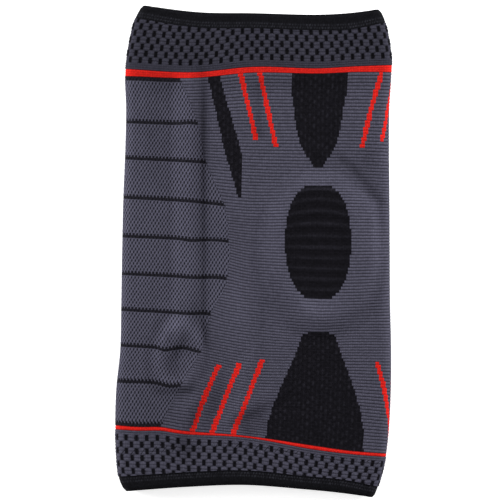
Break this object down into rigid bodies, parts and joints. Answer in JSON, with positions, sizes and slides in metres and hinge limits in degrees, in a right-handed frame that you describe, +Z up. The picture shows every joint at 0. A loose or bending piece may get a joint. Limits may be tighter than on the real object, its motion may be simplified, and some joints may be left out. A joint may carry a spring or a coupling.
{
  "type": "knee sleeve",
  "caption": "Knitted knee sleeve lying flat, with a mesh back, striped cuffs, black knee panels, a ring pad over the patella and a stay at the side.",
  "frame": {"origin": "centre of the bounding box, on the surface that the sleeve lies on", "axes": "+Y from the shin end to the thigh end, +X towards the side where the patella lies, +Z up, out of the wall over the patella"},
  "size_m": [0.1571, 0.28, 0.018],
  "materials": {
    "hem_yarn": "fine knit, matte",
    "cuff_yarn": "pillowed knit, matte",
    "red_yarn": "ribbed knit, matte",
    "black_yarn": "fine knit, matte",
    "grey_yarn": "ribbed and meshed knit, matte",
    "gel": "soft satin gel",
    "spring_steel": "satin"
  },
  "bodies": {
    "root": {"lower_hem": "hem_yarn", "upper_hem": "hem_yarn", "lower_cuff": "cuff_yarn", "upper_cuff": "cuff_yarn", "lower_stripe": "red_yarn", "upper_stripe": "red_yarn", "thigh_panel": "black_yarn", "patella_panel": "black_yarn", "shin_panel": "black_yarn", "left_wedge": "black_yarn", "right_wedge": "black_yarn", "plain_knit": "grey_yarn", "mesh_knit": "grey_yarn", "patella_pad": "gel", "side_stay": "spring_steel"}
  },
  "joints": []
}
